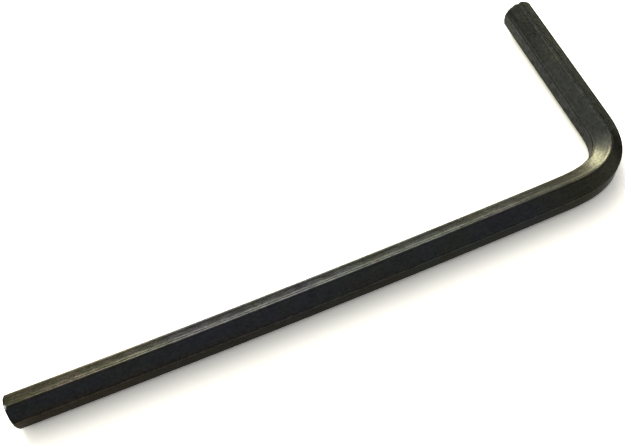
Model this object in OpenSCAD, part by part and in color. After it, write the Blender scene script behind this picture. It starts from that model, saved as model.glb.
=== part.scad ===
// Hex key: one hexagonal steel bar bent once through a right angle.
// It lies flat on the bottom ridges of both arms, so one ridge of the bar runs
// along the top of each arm and through the bend. The long arm runs along X,
// the short arm along Y and Z is up. The origin is at the middle of the
// bounding box, on the surface that the key lies on.

/* [Bar] */
// width of the hexagonal bar across its flats
across_flats = 3; // [1.5:0.1:6]
// how far each of the bar's six long edges is rounded back from a sharp hexagon
edge_trim = 0.045; // [0.01:0.005:0.08]

/* [Arms] */
// overall length of the long arm, from its end to the outside of the short arm
long_arm = 63.7; // [50:0.1:120]
// overall length of the short arm, from its end to the outside of the long arm
short_arm = 24.2; // [22:0.1:45]

/* [Bend] */
// radius of the flat on the inside of the bend
bend_inner_r = 3.9; // [1:0.1:8]

/* [Ends] */
// length of the turned chamfer at both ends, measured on the bar's edges
end_chamfer = 0.3; // [0.1:0.05:0.6]

/* [Hidden] */
$fn = 96;
half = across_flats / 2;
// distance from the middle of the bar to a sharp edge, and to a rounded one
sharp_r = half / cos(30);
corner_r = sharp_r - edge_trim;
bend_r = bend_inner_r + half;
long_straight = long_arm - half - bend_r;
short_straight = short_arm - half - bend_r;

// Cross-section of the bar in the XY plane: X points across two flats and Y
// runs through two edges. A circle about the middle rounds all six edges.
module bar_section() {
    intersection() {
        polygon([for (a = [30 : 60 : 330]) sharp_r * [cos(a), sin(a)]]);
        circle(r = corner_r);
    }
}

// One straight arm, standing on the XY plane, with the turned chamfer on top.
// The chamfer is a 45 degree cone about the bar's axis, so it cuts the edges
// further down than the middle of the flats.
module arm(len) {
    reach = across_flats;
    intersection() {
        linear_extrude(height = len) bar_section();
        rotate_extrude()
            polygon([
                [0, 0],
                [reach, 0],
                [reach, len - end_chamfer - (reach - corner_r)],
                [corner_r - end_chamfer, len],
                [0, len]
            ]);
    }
}

// Quarter turn of the same section, so all six edges run on through the bend.
module bend() {
    rotate([0, 0, -90]) rotate_extrude(angle = 90)
        translate([bend_r, 0]) bar_section();
}

module hex_key() {
    color([0.09, 0.09, 0.085])
    translate([long_arm / 2 - half - bend_r, -short_arm / 2 + half + bend_r, corner_r])
    union() {
        bend();
        translate([0, -bend_r, 0]) rotate([0, -90, 0]) rotate([0, 0, 90]) arm(long_straight);
        translate([bend_r, 0, 0]) rotate([-90, 0, 0]) arm(short_straight);
    }
}

hex_key();
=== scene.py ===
"""Looks of the hex key: one blackened, bent hexagonal bar, seen lying on a pale table."""
import math

import bpy
import numpy as np
from mathutils import Euler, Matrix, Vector


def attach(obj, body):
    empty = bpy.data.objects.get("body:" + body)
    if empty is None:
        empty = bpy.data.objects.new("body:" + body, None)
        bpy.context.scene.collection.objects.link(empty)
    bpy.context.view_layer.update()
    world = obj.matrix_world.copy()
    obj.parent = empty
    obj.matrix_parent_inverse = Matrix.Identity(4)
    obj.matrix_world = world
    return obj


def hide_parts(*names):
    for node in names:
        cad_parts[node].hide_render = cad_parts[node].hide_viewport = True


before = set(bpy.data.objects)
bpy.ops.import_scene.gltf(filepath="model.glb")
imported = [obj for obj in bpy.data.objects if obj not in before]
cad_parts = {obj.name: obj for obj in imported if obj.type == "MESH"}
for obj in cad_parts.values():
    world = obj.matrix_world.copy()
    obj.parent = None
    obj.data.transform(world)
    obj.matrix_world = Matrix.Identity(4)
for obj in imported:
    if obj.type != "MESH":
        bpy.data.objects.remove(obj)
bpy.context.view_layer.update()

MM = 0.001

# The bar's sizes in millimetres. Width and arms are the CAD source's. The edges are rounded so
# that the bar stands as high on them as the CAD bar does, and the chamfers are the photo's.
ACROSS_FLATS = 3.0
LONG_ARM = 63.7
SHORT_ARM = 24.2
EDGE_ROUND = 0.2916
END_CHAMFER = 0.16
HALF = ACROSS_FLATS / 2
# from the bar's axis to the middle of an edge's rounding, and to the edge itself
ROUND_AT = (HALF - EDGE_ROUND) / math.cos(math.pi / 6)
CORNER_R = ROUND_AT + EDGE_ROUND

# What bending and drawing a real bar adds to the ideal shape.
BOW = 0.28           # how far the long arm bows outwards at its middle
TIGHT_R = 3.57       # radius of the bend along the middle of the bar, where it is tightest
EASE_IN = 6.2        # length over which the bend tightens from the long arm
EASE_OUT = 1.3       # length over which it straightens into the short arm
BEND_THIN = 0.245    # share by which the outer half is drawn thin in the bend
BEND_SWELL = 0.15    # share by which the inner half is pushed inwards there
SOFTEN = 1.5         # how far the thinning and swelling of the bend fade into the arms
CROWN = 0.10         # how fast each drawn flat falls away towards its edges, per mm
CROWN_FROM = 0.2     # half width of the part of a flat that is really flat
LONG_SKEW = -0.13    # slope of the cut at the long arm's end: the inner side is the longer
SHORT_SKEW = 0.10    # slope of the cut at the short arm's end: the outer side is the longer
LONG_TUCK = 0.05     # taken off half the width, where the long end is let out for its tilt
SHORT_TRIM = 0.05    # how much the short arm's end falls short of its nominal length
LIP = 0.03           # small chamfer along the flats of an end
RIM = 0.20           # width of the darker rim behind a chamfer

# How finely the bar is divided.
BEND_ROWS = 80
LONG_ROWS = 130
SHORT_ROWS = 44
END_ROWS = (0.8, 1.0, 1.3, 1.6)              # distances of the first rows from an end
PLAIN_FROM = 2.0                             # distance from an end where even rows begin
STEPS_PER_ROW = 8
FADE_STEP = 0.05
ARC_POINTS = 8
FLAT_POINTS = 14
FACE_RINGS = (0.2, 0.4, 0.6, 0.8, 0.94)      # shares of an end face's radius
CHAMFER_RINGS = (0.0, 0.12, 0.5, 0.88, 1.0)  # shares of a chamfer's width

# Which part of the bar a point is on, for the material.
ON_SIDE, ON_RIM, ON_CHAMFER, ON_FACE = 0.0, 0.5, 1.0, 2.0


# ---------------------------------------------------------------- the bar's shape

def bend_curve(slope):
    """The bend's middle line from the given heading to 90 degrees: x, y, heading, tightness."""
    turn = math.pi / 2 - slope
    steady = turn * TIGHT_R - (EASE_IN + EASE_OUT) / 2
    length = EASE_IN + steady + EASE_OUT
    n = BEND_ROWS * STEPS_PER_ROW
    step = length / n
    rows, x, y, heading = [], 0.0, 0.0, slope
    for i in range(n + 1):
        s = i * step
        k = min(1.0, s / EASE_IN, (length - s) / EASE_OUT)
        if i % STEPS_PER_ROW == 0:
            rows.append((x, y, heading, max(0.0, k)))
        s += step / 2
        k = min(1.0, s / EASE_IN, (length - s) / EASE_OUT)
        middle = heading + k / TIGHT_R * step / 2
        x += math.cos(middle) * step
        y += math.sin(middle) * step
        heading += k / TIGHT_R * step
    return rows


def faded(rows):
    """The same rows, with the bend's tightness fading into the arms without a corner."""
    steps = [math.hypot(b[0] - a[0], b[1] - a[1]) for a, b in zip(rows, rows[1:])]
    at = np.cumsum([0.0] + steps)
    grid = np.arange(0.0, at[-1], FADE_STEP)
    window = np.hanning(2 * int(SOFTEN / FADE_STEP) + 1)
    tight = np.interp(grid, at, [row[3] for row in rows])
    soft = np.convolve(tight, window / window.sum(), "same")
    return [(*row[:3], float(np.interp(a, grid, soft))) for row, a in zip(rows, at)]


def centreline():
    """The bar's middle line: the row at the long end, all the rows between, and the last row."""
    slope = 0.0
    for _ in range(4):  # the bow's slope and the place of the bend settle together
        curve = bend_curve(slope)
        start = LONG_ARM / 2 - HALF - curve[-1][0]
        run = start + LONG_ARM / 2
        slope = math.atan(4 * BOW / run)
    y0 = -SHORT_ARM / 2 + HALF + BOW
    rows = []
    for d in list(END_ROWS) + list(np.linspace(PLAIN_FROM, run, LONG_ROWS))[:-1]:
        u = 1 - d / run
        rows.append((start - run * u, y0 - 4 * BOW * u * (1 - u),
                     math.atan(4 * BOW * (1 - 2 * u) / run), 0.0))
    for x, y, heading, k in curve:
        rows.append((start + x, y0 + y, heading, k))
    x1, y1 = rows[-1][:2]
    rest = SHORT_ARM / 2 - y1
    plain = list(np.linspace(0, rest - PLAIN_FROM, SHORT_ROWS))[1:]
    for d in plain + [rest - end for end in reversed(END_ROWS)]:
        rows.append((x1, y1 + d, math.pi / 2, 0.0))
    first = (-LONG_ARM / 2 - (HALF - LONG_TUCK) * math.sin(slope), y0, -slope, 0.0)
    last = (x1, SHORT_ARM / 2 - SHORT_TRIM, math.pi / 2, 0.0)
    return first, faded(rows), last


def section():
    """Outline of the bar, anticlockwise: inward, up, distance from an edge, way round."""
    pts = []
    flat_w = ROUND_AT  # a hexagon's side is as long as its corners are from the middle
    arc_len = EDGE_ROUND * math.pi / 3
    along = 0.0
    for k in range(6):
        n = math.radians(60 * k)
        for j in range(FLAT_POINTS):
            f = -flat_w / 2 + flat_w * j / FLAT_POINTS
            h = HALF - CROWN * max(0.0, abs(f) - CROWN_FROM) ** 2
            x = h * math.cos(n) - f * math.sin(n)
            y = h * math.sin(n) + f * math.cos(n)
            pts.append((x, y, flat_w / 2 - abs(f) + arc_len / 2,
                        along + flat_w * j / FLAT_POINTS))
        along += flat_w
        c = n + math.pi / 6
        for j in range(ARC_POINTS):
            a = n + math.pi / 3 * j / ARC_POINTS
            x = ROUND_AT * math.cos(c) + EDGE_ROUND * math.cos(a)
            y = ROUND_AT * math.sin(c) + EDGE_ROUND * math.sin(a)
            off = abs(j / ARC_POINTS - 0.5) * arc_len
            pts.append((x, y, off, along + arc_len * j / ARC_POINTS))
        along += arc_len
    return pts


def place(row, x, y, shift=0.0):
    """The point of the bar at a row of the middle line, x inward and y up, in metres."""
    px, py, heading, k = row
    if x < 0:
        # the outer flat moves in, and the flats above and below it keep their slope
        x *= 1 - BEND_THIN * k
        side = min(1.0, abs(y) / (CORNER_R / 2))
        room = CORNER_R - max(abs(y), CORNER_R / 2)
        y += math.copysign(BEND_THIN * k * side * room, y)
    else:
        x *= 1 + BEND_SWELL * k
    c, s = math.cos(heading), math.sin(heading)
    return ((px + c * shift - s * x) * MM, (py + s * shift + c * x) * MM, (CORNER_R + y) * MM)


def build_bar():
    """The whole bar as one closed mesh, with the places along and round it as attributes."""
    outline = section()
    n = len(outline)
    first, rows, last = centreline()
    verts, sweep, edge, faces = [], [], [], []
    end_r = CORNER_R - END_CHAMFER

    def ring(points):
        base = len(verts)
        for p, where, e in points:
            verts.append(p)
            sweep.append(where)
            edge.append(e)
        return base

    def end_rings(row, sign, skew, start):
        """Rings of one end, from the middle of its face out to the bar's flats."""
        out = []
        for q in FACE_RINGS:
            pts = []
            for x, y, _, _ in outline:
                r = math.hypot(x, y)
                rim = (min(r, end_r) - LIP) * q
                pts.append((x * rim / r, y * rim / r, 0.0, ON_FACE, end_r * (1 - q)))
            out.append(pts)
        for f in CHAMFER_RINGS:
            pts = []
            for x, y, e, _ in outline:
                r = math.hypot(x, y)
                rim = min(r, end_r) - LIP
                rr = rim + (r - rim) * f
                pts.append((x * rr / r, y * rr / r, rr - rim, ON_CHAMFER, e))
            out.append(pts)
        for width, region in ((RIM / 2, ON_RIM), (RIM, ON_SIDE)):
            pts = []
            for x, y, e, _ in outline:
                cone = max(0.0, math.hypot(x, y) - end_r)
                cone = cone * (1 - width / RIM) + END_CHAMFER * width / RIM
                pts.append((x, y, cone + LIP + width, region, e))
            out.append(pts)
        return [ring([(place(row, x, y, sign * (back + abs(skew) * HALF + skew * x)),
                       (start + sign * back, v, region), e)
                      for (x, y, back, region, e), (_, _, _, v) in zip(pts, outline)])
                for pts in out]

    tip_a = len(verts)
    verts.append(place(first, 0, 0, abs(LONG_SKEW) * HALF))
    sweep.append((0.0, 0.0, ON_FACE))
    edge.append(end_r)
    rings = end_rings(first, 1.0, LONG_SKEW, 0.0)
    prev, arc = first, 0.0
    for row in rows:
        arc += math.hypot(row[0] - prev[0], row[1] - prev[1])
        rings.append(ring([(place(row, x, y), (arc, v, ON_SIDE), e) for x, y, e, v in outline]))
        prev = row
    arc += math.hypot(last[0] - prev[0], last[1] - prev[1])
    rings += list(reversed(end_rings(last, -1.0, SHORT_SKEW, arc)))
    tip_b = len(verts)
    verts.append(place(last, 0, 0, -SHORT_SKEW * HALF))
    sweep.append((arc, 0.0, ON_FACE))
    edge.append(end_r)

    for a, b in zip(rings, rings[1:]):
        for j in range(n):
            k = (j + 1) % n
            faces.append((a + j, a + k, b + k, b + j))
    for j in range(n):
        k = (j + 1) % n
        faces.append((tip_a, rings[0] + k, rings[0] + j))
        faces.append((tip_b, rings[-1] + j, rings[-1] + k))

    mesh = bpy.data.meshes.new("hex_key_bar")
    mesh.from_pydata(verts, [], faces)
    along = mesh.attributes.new("sweep", "FLOAT_VECTOR", "POINT")
    along.data.foreach_set("vector", np.array(sweep, np.float32).ravel())
    apart = mesh.attributes.new("edge", "FLOAT", "POINT")
    apart.data.foreach_set("value", np.array(edge, np.float32))
    mesh.validate()
    mesh.update()
    mesh.shade_smooth()
    bar = bpy.data.objects.new("hex_key_bar", mesh)
    bpy.context.scene.collection.objects.link(bar)
    return bar


bar = build_bar()
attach(bar, "root")
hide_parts("hex_key")


# ---------------------------------------------------------------- materials

class Tree:
    """Short names for building a material's node tree."""

    def __init__(self, name):
        self.mat = bpy.data.materials.new(name)
        self.mat.use_nodes = True
        self.nodes = self.mat.node_tree.nodes
        self.nodes.clear()
        self.links = self.mat.node_tree.links

    def new(self, kind):
        return self.nodes.new("ShaderNode" + kind)

    def put(self, socket, value):
        if isinstance(value, bpy.types.NodeSocket):
            self.links.new(value, socket)
        else:
            socket.default_value = value

    def math(self, op, *values, clamp=False):
        node = self.new("Math")
        node.operation = op
        node.use_clamp = clamp
        for socket, value in zip(node.inputs, values):
            self.put(socket, value)
        return node.outputs[0]

    def add(self, a, b, clamp=False):
        return self.math("ADD", a, b, clamp=clamp)

    def sub(self, a, b):
        return self.math("SUBTRACT", a, b)

    def mul(self, a, b, clamp=False):
        return self.math("MULTIPLY", a, b, clamp=clamp)

    def apart(self, a, b):
        """How far two values are from each other."""
        return self.math("ABSOLUTE", self.sub(a, b))

    def split(self, vector):
        node = self.new("SeparateXYZ")
        self.put(node.inputs[0], vector)
        return node.outputs

    def combine(self, x, y, z):
        node = self.new("CombineXYZ")
        for socket, value in zip(node.inputs, (x, y, z)):
            self.put(socket, value)
        return node.outputs[0]

    def scaled(self, vector, factor):
        node = self.new("VectorMath")
        node.operation = "SCALE"
        self.put(node.inputs[0], vector)
        self.put(node.inputs["Scale"], factor)
        return node.outputs[0]

    def attribute(self, name, output):
        node = self.new("Attribute")
        node.attribute_name = name
        return node.outputs[output]

    def noise(self, vector, scale, detail, rough):
        node = self.new("TexNoise")
        self.put(node.inputs["Vector"], vector)
        node.inputs["Scale"].default_value = scale
        node.inputs["Detail"].default_value = detail
        node.inputs["Roughness"].default_value = rough
        return node.outputs["Fac"]

    def step(self, value, start, end, low=0.0, high=1.0):
        """Smooth step of the value from start to end, giving low to high."""
        node = self.new("MapRange")
        node.interpolation_type = "SMOOTHSTEP"
        for socket, v in zip(node.inputs, (value, start, end, low, high)):
            self.put(socket, v)
        return node.outputs[0]

    def band(self, value, rise, fall):
        """A smooth band: up over the first pair of values and down over the second."""
        return self.mul(self.step(value, *rise), self.step(value, *fall))

    def mix(self, factor, a, b):
        node = self.new("Mix")
        node.data_type = "RGBA"
        self.put(node.inputs[0], factor)
        for socket, colour in zip(node.inputs[6:8], (a, b)):
            self.put(socket, (*colour, 1) if isinstance(colour, tuple) else colour)
        return node.outputs[2]

    def ramp(self, value, *stops):
        node = self.new("ValToRGB")
        self.put(node.inputs[0], value)
        els = node.color_ramp.elements
        while len(els) < len(stops):
            els.new(0.5)
        for el, (pos, colour) in zip(els, stops):
            el.position = pos
            el.color = (*colour, 1)
        return node.outputs[0]

    def spots(self, s, v, places):
        """Sum of soft spots on the bar's side, each given as in the tables below."""
        total = 0.0
        for s0, v0, length, width, strength in places:
            along, across = (
                self.math("POWER", self.math("DIVIDE", self.apart(value, middle), size), 2.0)
                for value, middle, size in ((s, s0, length), (v, v0, width)))
            spot = self.math("EXPONENT", self.mul(self.add(along, across), -1.0))
            total = self.add(total, self.mul(spot, strength))
        return total


# Places round the bar, in mm from the start of its inner flat. The flats are called D (the
# inner upright one), A and B (the upper ones, inner and outer) and C (the outer upright one).
#   D 0 to 1.40,  A 1.70 to 3.10,  B 3.40 to 4.80,  C 5.10 to 6.50, with the ridges between.
TOP_RIDGE = 3.25
LOW_RIDGE = 4.90

# Places along the bar, in mm from the long end: the bend runs from 55.7 to 65.0, and the
# short arm ends at 82.7.
#
# Soft spots: place along the bar, place round it, half length, half width and strength.
OLIVE_BLOOMS = ((80.1, 2.75, 0.8, 0.4, 1.0), (74.7, 3.0, 1.3, 0.45, 1.0))
SCUFFS = ((76.4, 3.55, 0.35, 0.16, 1.0), (75.6, 4.40, 0.40, 0.16, 1.0),
          (76.9, 4.05, 0.25, 0.14, 1.0), (54.7, 4.17, 0.18, 0.12, 0.35))

# The oxide's colours.
BLUISH = (0.0375, 0.0372, 0.0445)
NEUTRAL = (0.0388, 0.0392, 0.0405)
GREENISH = (0.0380, 0.0412, 0.0372)
BROWNISH = (0.0440, 0.0392, 0.0350)
OLIVE_BROWN = (0.0420, 0.0415, 0.0265)
RED_BROWN = (0.0490, 0.0415, 0.0325)
# painted reflection of the warm shadow beside the bar, for the lower ridge and flat C of the long
# arm
SHADOW_REFLECTION_BROWN = (0.0480, 0.0388, 0.0308)
STRAW = (0.0425, 0.0412, 0.0295)
OLIVE_GREY = (0.0362, 0.0380, 0.0326)
PLAIN_GREY = (0.0390, 0.0402, 0.0415)
OLIVE_BLOOM = (0.0470, 0.0470, 0.0300)
RUBBED_STEEL = (0.135, 0.130, 0.110)
# painted highlight: the bright corner of both chamfers at the top ridge
CHAMFER_GLINT = (0.52, 0.51, 0.48)


def oxide_colour(t, s, v, slow, blotch, speck, on_short):
    """Tint of the oxide, which changes slowly along the bar and round it."""
    # bluish, grey, green and brown patches that run into each other
    colour = t.ramp(slow, (0.34, BLUISH), (0.45, NEUTRAL), (0.56, GREENISH), (0.68, BROWNISH))
    # brown at the long arm's end, but not on flat B; the end face has a bluish wedge from this
    on_b = t.band(v, (3.25, 3.55), (4.9, 4.6))
    near_end = t.mul(t.step(s, 24.0, 2.0), t.sub(1.0, on_b))
    brown = t.mix(t.step(blotch, 0.42, 0.56), OLIVE_BROWN, RED_BROWN)
    colour = t.mix(near_end, colour, brown)
    # painted reflection: brown towards the lower ridge, on flat C and below, along the long arm,
    # where it mirrors the warm shadow beside the bar
    low_edge = t.mul(t.step(v, 4.3, 4.9), t.step(s, 40.0, 8.0))
    colour = t.mix(t.mul(low_edge, 0.75), colour, SHADOW_REFLECTION_BROWN)
    # straw where the bar was heated for the bend, which begins earlier on flats D and A
    before_bend = t.mul(t.step(s, 40.0, 49.0, 0.0, 0.6), t.step(v, 3.3, 3.1))
    into_bend = t.math("MAXIMUM", t.step(s, 50.0, 58.0), before_bend)
    near_bend = t.mul(into_bend, t.step(s, 65.5, 61.0))
    colour = t.mix(near_bend, colour, STRAW)
    # the short arm is an even grey with a little olive bloom
    grey = t.mix(t.step(v, 1.75, 1.4), OLIVE_GREY, PLAIN_GREY)
    colour = t.mix(t.mul(on_short, 0.92), colour, grey)
    bloom = t.math("MINIMUM", t.spots(s, v, OLIVE_BLOOMS), 1.0)
    bloom = t.mul(bloom, t.step(speck, 0.40, 0.62, 0.15, 0.65))
    return t.mix(bloom, colour, OLIVE_BLOOM)


def black_oxide():
    """Black oxide over drawn steel: dark metal with drawn grain, mottled tints and light wear."""
    t = Tree("black_oxide")
    out = t.new("OutputMaterial")
    bsdf = t.new("BsdfPrincipled")
    t.links.new(bsdf.outputs[0], out.inputs[0])

    s, v, region = t.split(t.attribute("sweep", "Vector"))
    edge = t.attribute("edge", "Fac")
    mm = t.scaled(t.new("TexCoord").outputs["Object"], 1 / MM)
    x, y, z = t.split(mm)
    is_chamfer = t.step(t.apart(region, ON_CHAMFER), 0.5, 0.1)
    is_face = t.step(region, 1.4, 1.8)
    on_short = t.step(s, 61.0, 66.0)

    # noises: drawn grain, specks, blotches and slow changes of tint, and the ends' tool marks
    drawn = t.noise(t.combine(t.mul(s, 0.45), t.mul(v, 9.0), region), 1.0, 4.0, 0.65)
    speck = t.noise(mm, 4.6, 3.0, 0.6)
    blotch = t.noise(mm, 1.1, 3.0, 0.55)
    slow = t.noise(mm, 0.21, 2.0, 0.5)
    sawn = t.noise(t.combine(t.mul(t.add(x, y), 9.0), t.mul(z, 0.9), 0.0), 1.0, 4.0, 0.6)
    turned = t.math("SINE", t.mul(s, 110.0))

    # lightness: grain, specks and blotches
    light = t.add(t.step(drawn, 0.25, 0.75, 0.86, 1.14), t.step(speck, 0.30, 0.70, -0.24, 0.24))
    light = t.add(light, t.step(blotch, 0.3, 0.7, -0.09, 0.09))
    # faint darker, broken lines along the ridges, and on the short arm a broken painted highlight
    # along the top ridge
    ridge = t.step(edge, 0.17, 0.05)
    dirt = t.mul(t.mul(ridge, t.step(speck, 0.62, 0.44)), t.sub(0.05, t.mul(on_short, 0.01)))
    light = t.sub(light, dirt)
    from_top = t.apart(v, TOP_RIDGE)
    top_ridge = t.mul(t.step(from_top, 0.30, 0.05), on_short)
    light = t.add(light, t.mul(top_ridge, t.step(speck, 0.34, 0.62, 0.0, 0.40)))
    # towards the short arm's end flat A is darker and flat D lighter
    tip = t.step(s, 72.0, 79.0)
    on_a = t.band(v, (1.5, 1.8), (3.3, 3.05))
    light = t.sub(light, t.mul(t.mul(on_a, tip), 0.30))
    light = t.add(light, t.mul(t.mul(t.step(v, 1.5, 1.3), tip), 0.20))
    # small pits and coarse mottling on the short arm's flats D and B
    pitted = t.mul(t.add(t.step(v, 1.5, 1.2), t.band(v, (3.2, 3.5), (4.9, 4.2))), on_short)
    pits = t.mul(t.step(t.noise(mm, 4.4, 2.0, 0.5), 0.54, 0.62), pitted)
    light = t.sub(light, t.mul(pits, 0.5))
    mottle = t.step(t.noise(mm, 3.0, 2.0, 0.6), 0.36, 0.64, -0.50, 0.55)
    light = t.add(light, t.mul(mottle, pitted))
    # painted shade: flat C, which mirrors the shadow beside the bar, is darker, most of all
    # towards the long end, and along the long arm so is the ridge above it ...
    on_c = t.band(v, (4.8, 5.1), (6.9, 6.5))
    light = t.sub(light, t.mul(on_c, t.step(s, 46.0, 30.0, 0.08, 0.16)))
    low_ridge = t.mul(t.step(t.apart(v, LOW_RIDGE), 0.30, 0.14), t.step(s, 56.0, 26.0))
    light = t.sub(light, t.mul(low_ridge, 0.13))
    # ... and so is the middle of flats D and A, most of all away from the top ridge: painted
    # shade where these flats mirror less of the lamps
    middle = t.band(s, (8.0, 18.0), (49.0, 42.0))
    far_side = t.mul(middle, t.step(v, 3.3, 3.1))
    light = t.sub(light, t.mul(far_side, t.step(v, 2.75, 2.0, 0.10, 0.34)))
    # the short arm's flat B is a little lighter, in blotches
    lighter_flat_b = t.mul(t.step(s, 65.5, 68.5), t.band(v, (3.3, 3.5), (4.6, 4.1)))
    light = t.add(light, t.mul(lighter_flat_b, t.step(blotch, 0.38, 0.6, 0.22, 0.50)))
    light = t.mul(light, t.sub(1.0, t.mul(is_chamfer, 0.45)))
    colour = t.scaled(oxide_colour(t, s, v, slow, blotch, speck, on_short), light)

    # wear: rubbed ridges and a few scuffs; and a painted highlight on both chamfers at the top
    # ridge's corner
    rubbed = t.mul(t.step(edge, 0.13, 0.02), t.step(blotch, 0.52, 0.66))
    rubbed = t.mul(rubbed, t.math("MULTIPLY_ADD", top_ridge, 0.35, 0.05))
    scuff = t.mul(t.spots(s, v, SCUFFS), t.step(speck, 0.38, 0.58), clamp=True)
    wear = t.add(rubbed, t.mul(scuff, 0.6), clamp=True)
    colour = t.mix(wear, colour, RUBBED_STEEL)
    chamfer_glint = t.mul(is_chamfer, t.step(from_top, 0.36, 0.16))
    colour = t.mix(t.mul(chamfer_glint, 0.85), colour, CHAMFER_GLINT)
    t.links.new(colour, bsdf.inputs["Base Color"])

    rough = t.add(t.step(drawn, 0.25, 0.75, 0.185, 0.245),
                  t.step(blotch, 0.3, 0.7, -0.015, 0.02))
    rough = t.add(rough, t.mul(t.add(is_chamfer, is_face), 0.12))
    rough = t.add(rough, t.mul(scuff, 0.12))
    t.links.new(rough, bsdf.inputs["Roughness"])

    # bump: grain on the sides, saw marks on the end faces, turned rings on the chamfers
    grain = t.add(t.mul(drawn, 0.55), t.mul(speck, 0.45))
    height = t.add(t.mul(grain, t.sub(1.0, is_face)), t.mul(sawn, t.mul(is_face, 1.6)))
    height = t.add(height, t.mul(turned, t.mul(is_chamfer, 0.12)))
    height = t.add(height, t.mul(t.add(scuff, pits), -0.5))
    bump = t.new("Bump")
    bump.inputs["Strength"].default_value = 1.0
    bump.inputs["Distance"].default_value = 0.01 * MM
    t.links.new(height, bump.inputs["Height"])
    t.links.new(bump.outputs[0], bsdf.inputs["Normal"])

    bsdf.inputs["Metallic"].default_value = 1.0
    bsdf.inputs["Specular Tint"].default_value = (0.57, 0.57, 0.54, 1)
    return t.mat


bar.data.materials.append(black_oxide())


# ---------------------------------------------------------------- stage, light, camera

TABLE = (0.86, 0.855, 0.84)
TABLE_MIRRORED = (1.32, 1.31, 1.28)
TABLE_SEEN = (2.02, 1.955, 1.81)
TABLE_REACH = 0.6


def table_material():
    """Pale table: plain diffuse to the lights, lifted to white where it is seen or mirrored."""
    t = Tree("pale_table")
    out = t.new("OutputMaterial")
    diffuse = t.new("BsdfDiffuse")
    path = t.new("LightPath").outputs
    mirrored = t.math("MAXIMUM", path["Is Glossy Ray"], path["Is Transmission Ray"])
    colour = t.mix(mirrored, TABLE, TABLE_MIRRORED)
    colour = t.mix(path["Is Camera Ray"], colour, TABLE_SEEN)
    t.links.new(colour, diffuse.inputs["Color"])
    t.links.new(diffuse.outputs[0], out.inputs[0])
    return t.mat


table_mesh = bpy.data.meshes.new("table")
corners = ((-1, -1), (1, -1), (1, 1), (-1, 1))
table_mesh.from_pydata([(x * TABLE_REACH, y * TABLE_REACH, 0) for x, y in corners],
                       [], [(0, 1, 2, 3)])
table = bpy.data.objects.new("table", table_mesh)
bpy.context.scene.collection.objects.link(table)
table_mesh.materials.append(table_material())

LAMP_TARGET = (0.02, -0.004, 0.0)


def area(name, direction, distance, size, radiance, colour):
    """A rectangular lamp of the given radiance, seen from the target in the given direction."""
    data = bpy.data.lights.new(name, "AREA")
    data.shape = "RECTANGLE"
    data.size, data.size_y = size
    data.energy = radiance * math.pi * size[0] * size[1]
    data.color = colour
    obj = bpy.data.objects.new(name, data)
    bpy.context.scene.collection.objects.link(obj)
    d = Vector(direction).normalized()
    obj.location = Vector(LAMP_TARGET) + d * distance
    obj.rotation_euler = d.to_track_quat("Z", "Y").to_euler()


# a soft box and a long strip, both low behind the key
area("back_softbox", (-0.016, 0.92, 0.39), 0.45, (0.26, 0.115), 15.5, (1.0, 0.985, 0.84))
area("back_strip", (0.178, 0.923, 0.342), 0.50, (0.554, 0.052), 6.4, (1.0, 0.985, 0.88))

SKY_BASE = (0.168, 0.17, 0.175)
# direction, spread in degrees, colour and strength of each soft patch of the sky
SKY_GLOWS = (
    ((0.08, -0.45, 0.90), 40, (0.96, 1.0, 1.06), 0.31),
    ((0.81, -0.30, 0.50), 20, (1, 1, 1), 0.55),
    ((0.44, 0.39, 0.81), 20, (1, 1, 1), 0.45),
    ((0.35, 0.885, 0.31), 9, (1, 0.98, 0.88), 4.3),
    ((-0.77, 0.165, 0.615), 18, (1, 1, 0.87), 1.75),
    ((-0.46, 0.35, 0.82), 18, (1, 1, 0.98), 0.30),
    ((0.86, 0.50, 0.13), 12, (1, 1, 0.95), 0.32),
    ((0.0, 0.62, 0.79), 20, (1, 1, 0.97), 1.6),
    ((-0.15, 0.83, 0.54), 18, (1, 0.98, 0.90), 2.8),
)

world = bpy.data.worlds.new("studio")
bpy.context.scene.world = world
world.use_nodes = True
sky = world.node_tree
sky_dir = sky.nodes.new("ShaderNodeTexCoord").outputs["Generated"]


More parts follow.
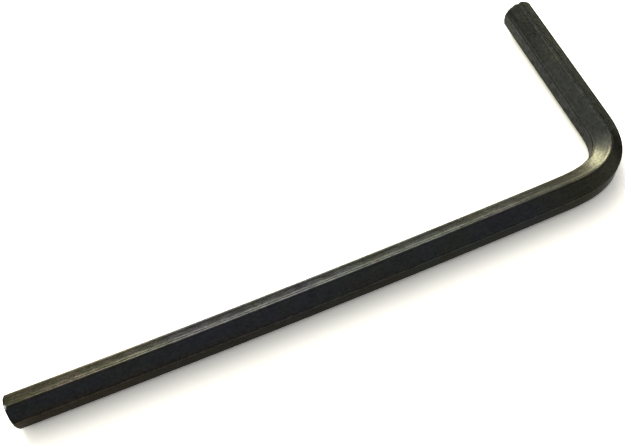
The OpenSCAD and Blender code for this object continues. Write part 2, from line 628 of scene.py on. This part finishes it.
def sky_glow(direction, spread, colour, strength):
    """A soft patch of the sky: brightest in the given direction, falling away around it."""
    dot = sky.nodes.new("ShaderNodeVectorMath")
    dot.operation = "DOT_PRODUCT"
    sky.links.new(sky_dir, dot.inputs[0])
    dot.inputs[1].default_value = Vector(direction).normalized()
    fall = sky.nodes.new("ShaderNodeMath")
    fall.operation = "MULTIPLY_ADD"
    sky.links.new(dot.outputs["Value"], fall.inputs[0])
    k = 1 / (1 - math.cos(math.radians(spread)))
    fall.inputs[1].default_value = k
    fall.inputs[2].default_value = math.log(strength) - k
    power = sky.nodes.new("ShaderNodeMath")
    power.operation = "EXPONENT"
    sky.links.new(fall.outputs[0], power.inputs[0])
    tint = sky.nodes.new("ShaderNodeVectorMath")
    tint.operation = "SCALE"
    tint.inputs[0].default_value = colour
    sky.links.new(power.outputs[0], tint.inputs["Scale"])
    return tint.outputs[0]


base = sky.nodes.new("ShaderNodeCombineXYZ")
for socket, value in zip(base.inputs, SKY_BASE):
    socket.default_value = value
total = base.outputs[0]
for glow in SKY_GLOWS:
    plus = sky.nodes.new("ShaderNodeVectorMath")
    plus.operation = "ADD"
    sky.links.new(total, plus.inputs[0])
    sky.links.new(sky_glow(*glow), plus.inputs[1])
    total = plus.outputs[0]

# past the table's edge the camera sees plain white
path = sky.nodes.new("ShaderNodeLightPath")
backdrop = sky.nodes.new("ShaderNodeMix")
backdrop.data_type = "RGBA"
sky.links.new(path.outputs["Is Camera Ray"], backdrop.inputs[0])
sky.links.new(total, backdrop.inputs[6])
backdrop.inputs[7].default_value = (1, 1, 1, 1)
background = sky.nodes["Background"]
sky.links.new(backdrop.outputs[2], background.inputs["Color"])
background.inputs["Strength"].default_value = 1.0

# the camera was solved from the bar's edges in the photo, and its lens then made 0.65 %
# longer, which shares the difference in length between both ends
CAMERA_AT_MM = (-8.7883, -41.2605, 73.0410)
CAMERA_TURN_DEG = (28.28974, 4.586284, -21.524449)
cam_data = bpy.data.cameras.new("camera")
cam_data.sensor_fit = "HORIZONTAL"
cam_data.sensor_width = 36.0
cam_data.lens = 48.032
cam_data.shift_x = 0.0029
cam_data.shift_y = 0.0004
cam_data.clip_start = 0.005
cam_data.clip_end = 10
cam = bpy.data.objects.new("camera", cam_data)
bpy.context.scene.collection.objects.link(cam)
cam.location = [c * MM for c in CAMERA_AT_MM]
cam.rotation_euler = Euler([math.radians(a) for a in CAMERA_TURN_DEG], "XYZ")
bpy.context.scene.camera = cam

bpy.context.scene.view_settings.view_transform = "Standard"
